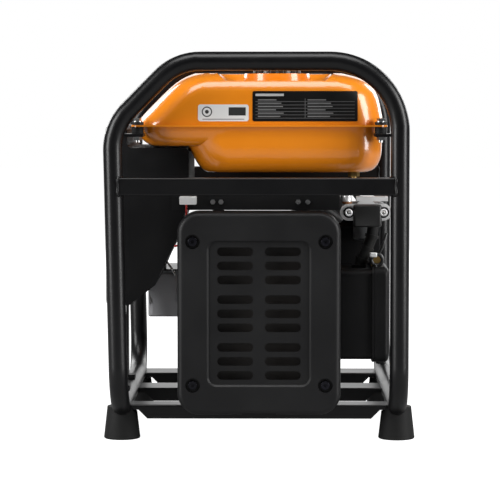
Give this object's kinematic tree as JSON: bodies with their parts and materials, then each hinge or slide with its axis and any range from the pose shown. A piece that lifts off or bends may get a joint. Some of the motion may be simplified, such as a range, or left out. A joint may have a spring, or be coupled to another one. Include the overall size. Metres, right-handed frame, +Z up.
{
  "type": "portable generator",
  "caption": "Open-frame portable inverter generator: bent-tube frame on rubber feet, pressed tank, slotted muffler cover, recoil starter, air cleaner and side control panel.",
  "frame": {"origin": "on the floor, under the middle of the frame", "axes": "+Z up, +X towards the air cleaner, -X the control panel, -Y the muffler end, +Y the recoil starter end"},
  "size_m": [0.4236, 0.5054, 0.524],
  "materials": {
    "powder_black": "satin powder coat",
    "tank_orange": "gloss enamel",
    "cover_black": "matt heat-proof paint",
    "muffler_steel": "heat-darkened steel",
    "black_bolt": "black oxide",
    "zinc_bolt": "zinc plate",
    "zinc_plate": "zinc plate",
    "cast_alloy": "as-cast",
    "valve_cover_black": "satin paint",
    "steel": "ground steel",
    "piston_alloy": "machined",
    "stator_iron": "varnished laminations and windings",
    "black_plastic": "fine grain",
    "gloss_black": "moulded",
    "signal_red": "moulded",
    "rubber": "moulded",
    "foam": "open-cell foam",
    "rope": "braided cord",
    "nylon_white": "moulded",
    "brass": "machined",
    "plate_black": "printed foil",
    "label_white": "printed film",
    "module_grey": "rough cast, potted",
    "gauge_clear": "bezel and window",
    "lamp": "clear lens",
    "plug_rubber": "moulded",
    "oil_plug_yellow": "moulded"
  },
  "bodies": {
    "machine": {"advice_label": "label_white", "air_cleaner_case": "black_plastic", "air_cleaner_foam": "foam", "alternator_plate": "cast_alloy", "box_brackets": "powder_black", "brass_fittings": "brass", "carburettor": "cast_alloy", "control_box": "black_plastic", "control_fascia": "black_plastic", "cover_bolts": "black_bolt", "crankcase": "cast_alloy", "crossmembers": "powder_black", "cylinder_barrel": "cast_alloy", "cylinder_head": "cast_alloy", "engine_bed": "powder_black", "fan_shroud": "black_plastic", "far_hoop": "powder_black", "fuel_gauge": "gauge_clear", "fuel_hose": "rubber", "fuel_strainer": "nylon_white", "heat_shield": "cover_black", "indicator_lamps": "lamp", "intake_elbow": "zinc_plate", "intake_hose": "rubber", "intake_manifold": "black_plastic", "inverter_module": "module_grey", "lead_connector": "nylon_white", "lid_hinges": "zinc_bolt", "main_bearings": "steel", "muffler_body": "muffler_steel", "muffler_cover": "cover_black", "near_hoop": "powder_black", "panel_outlets": "black_plastic", "rating_plate": "plate_black", "recoil_cover": "black_plastic", "red_lead": "signal_red", "rubber_feet": "rubber", "rubber_mounts": "rubber", "spark_plug": "plug_rubber", "stator": "stator_iron", "tank_lower_shell": "tank_orange", "tank_rails": "powder_black", "tank_upper_shell": "tank_orange", "valve_cover": "valve_cover_black", "zinc_fasteners": "zinc_bolt"},
    "cap": {"fuel_cap": "gloss_black"},
    "knob": {"engine_switch_knob": "gloss_black"},
    "rocker": {"eco_rocker": "gloss_black"},
    "button": {"breaker_button": "signal_red"},
    "near_lid": {"near_socket_lid": "gloss_black"},
    "far_lid": {"far_socket_lid": "gloss_black"},
    "reel": {"recoil_reel": "black_plastic"},
    "handle": {"starter_handle": "gloss_black", "starter_rope": "rope"},
    "crank": {"crankshaft": "steel", "flywheel": "steel", "cooling_fan": "black_plastic"},
    "piston": {"piston": "piston_alloy"},
    "cleaner_lid": {"air_cleaner_lid": "black_plastic"},
    "oil_plug": {"oil_filler_plug": "oil_plug_yellow"}
  },
  "joints": [
    {"name": "cap_lift", "type": "slide", "parent": "machine", "child": "cap", "axis": [0, 0, 1], "range_m": [0, 0.06]},
    {"name": "switch_turn", "type": "hinge", "parent": "machine", "child": "knob", "pos_m": [-0.2, -0.138, 0.372], "axis": [-1, 0, 0], "range_deg": [0, 90]},
    {"name": "eco_rock", "type": "hinge", "parent": "machine", "child": "rocker", "pos_m": [-0.195, -0.138, 0.3], "axis": [0, 1, 0], "range_deg": [0, 14]},
    {"name": "breaker_push", "type": "slide", "parent": "machine", "child": "button", "axis": [1, 0, 0], "range_m": [0, 0.003], "stiffness_N_per_m": 600},
    {"name": "near_lid_swing", "type": "hinge", "parent": "machine", "child": "near_lid", "pos_m": [-0.2049, -0.078, 0.281], "axis": [0, 1, 0], "range_deg": [0, 100], "stiffness_Nm_per_rad": 0.02},
    {"name": "far_lid_swing", "type": "hinge", "parent": "machine", "child": "far_lid", "pos_m": [-0.2049, 0.002, 0.281], "axis": [0, 1, 0], "range_deg": [0, 100], "stiffness_Nm_per_rad": 0.02},
    {"name": "reel_turn", "type": "hinge", "parent": "machine", "child": "reel", "pos_m": [0.005, 0.169, 0.178], "axis": [0, 1, 0], "range_deg": [0, 954.93], "stiffness_Nm_per_rad": 0.02},
    {"name": "handle_pull", "type": "slide", "parent": "machine", "child": "handle", "axis": [0, 1, 0], "range_m": [0, 0.7]},
    {"name": "crank_spin", "type": "hinge", "parent": "machine", "child": "crank", "pos_m": [0.005, 0, 0.178], "axis": [0, 1, 0], "continuous": true},
    {"name": "piston_stroke", "type": "slide", "parent": "machine", "child": "piston", "axis": [-0.6157, 0, -0.788], "range_m": [0, 0.054]},
    {"name": "cleaner_lid_off", "type": "slide", "parent": "machine", "child": "cleaner_lid", "axis": [1, 0, 0], "range_m": [0, 0.06]},
    {"name": "oil_plug_out", "type": "slide", "parent": "machine", "child": "oil_plug", "axis": [1, 0, 0], "range_m": [0, 0.05]}
  ],
  "couplings": [
    {"joint": "handle_pull", "follows": "reel_turn", "m_per_rad": 0.042}
  ]
}
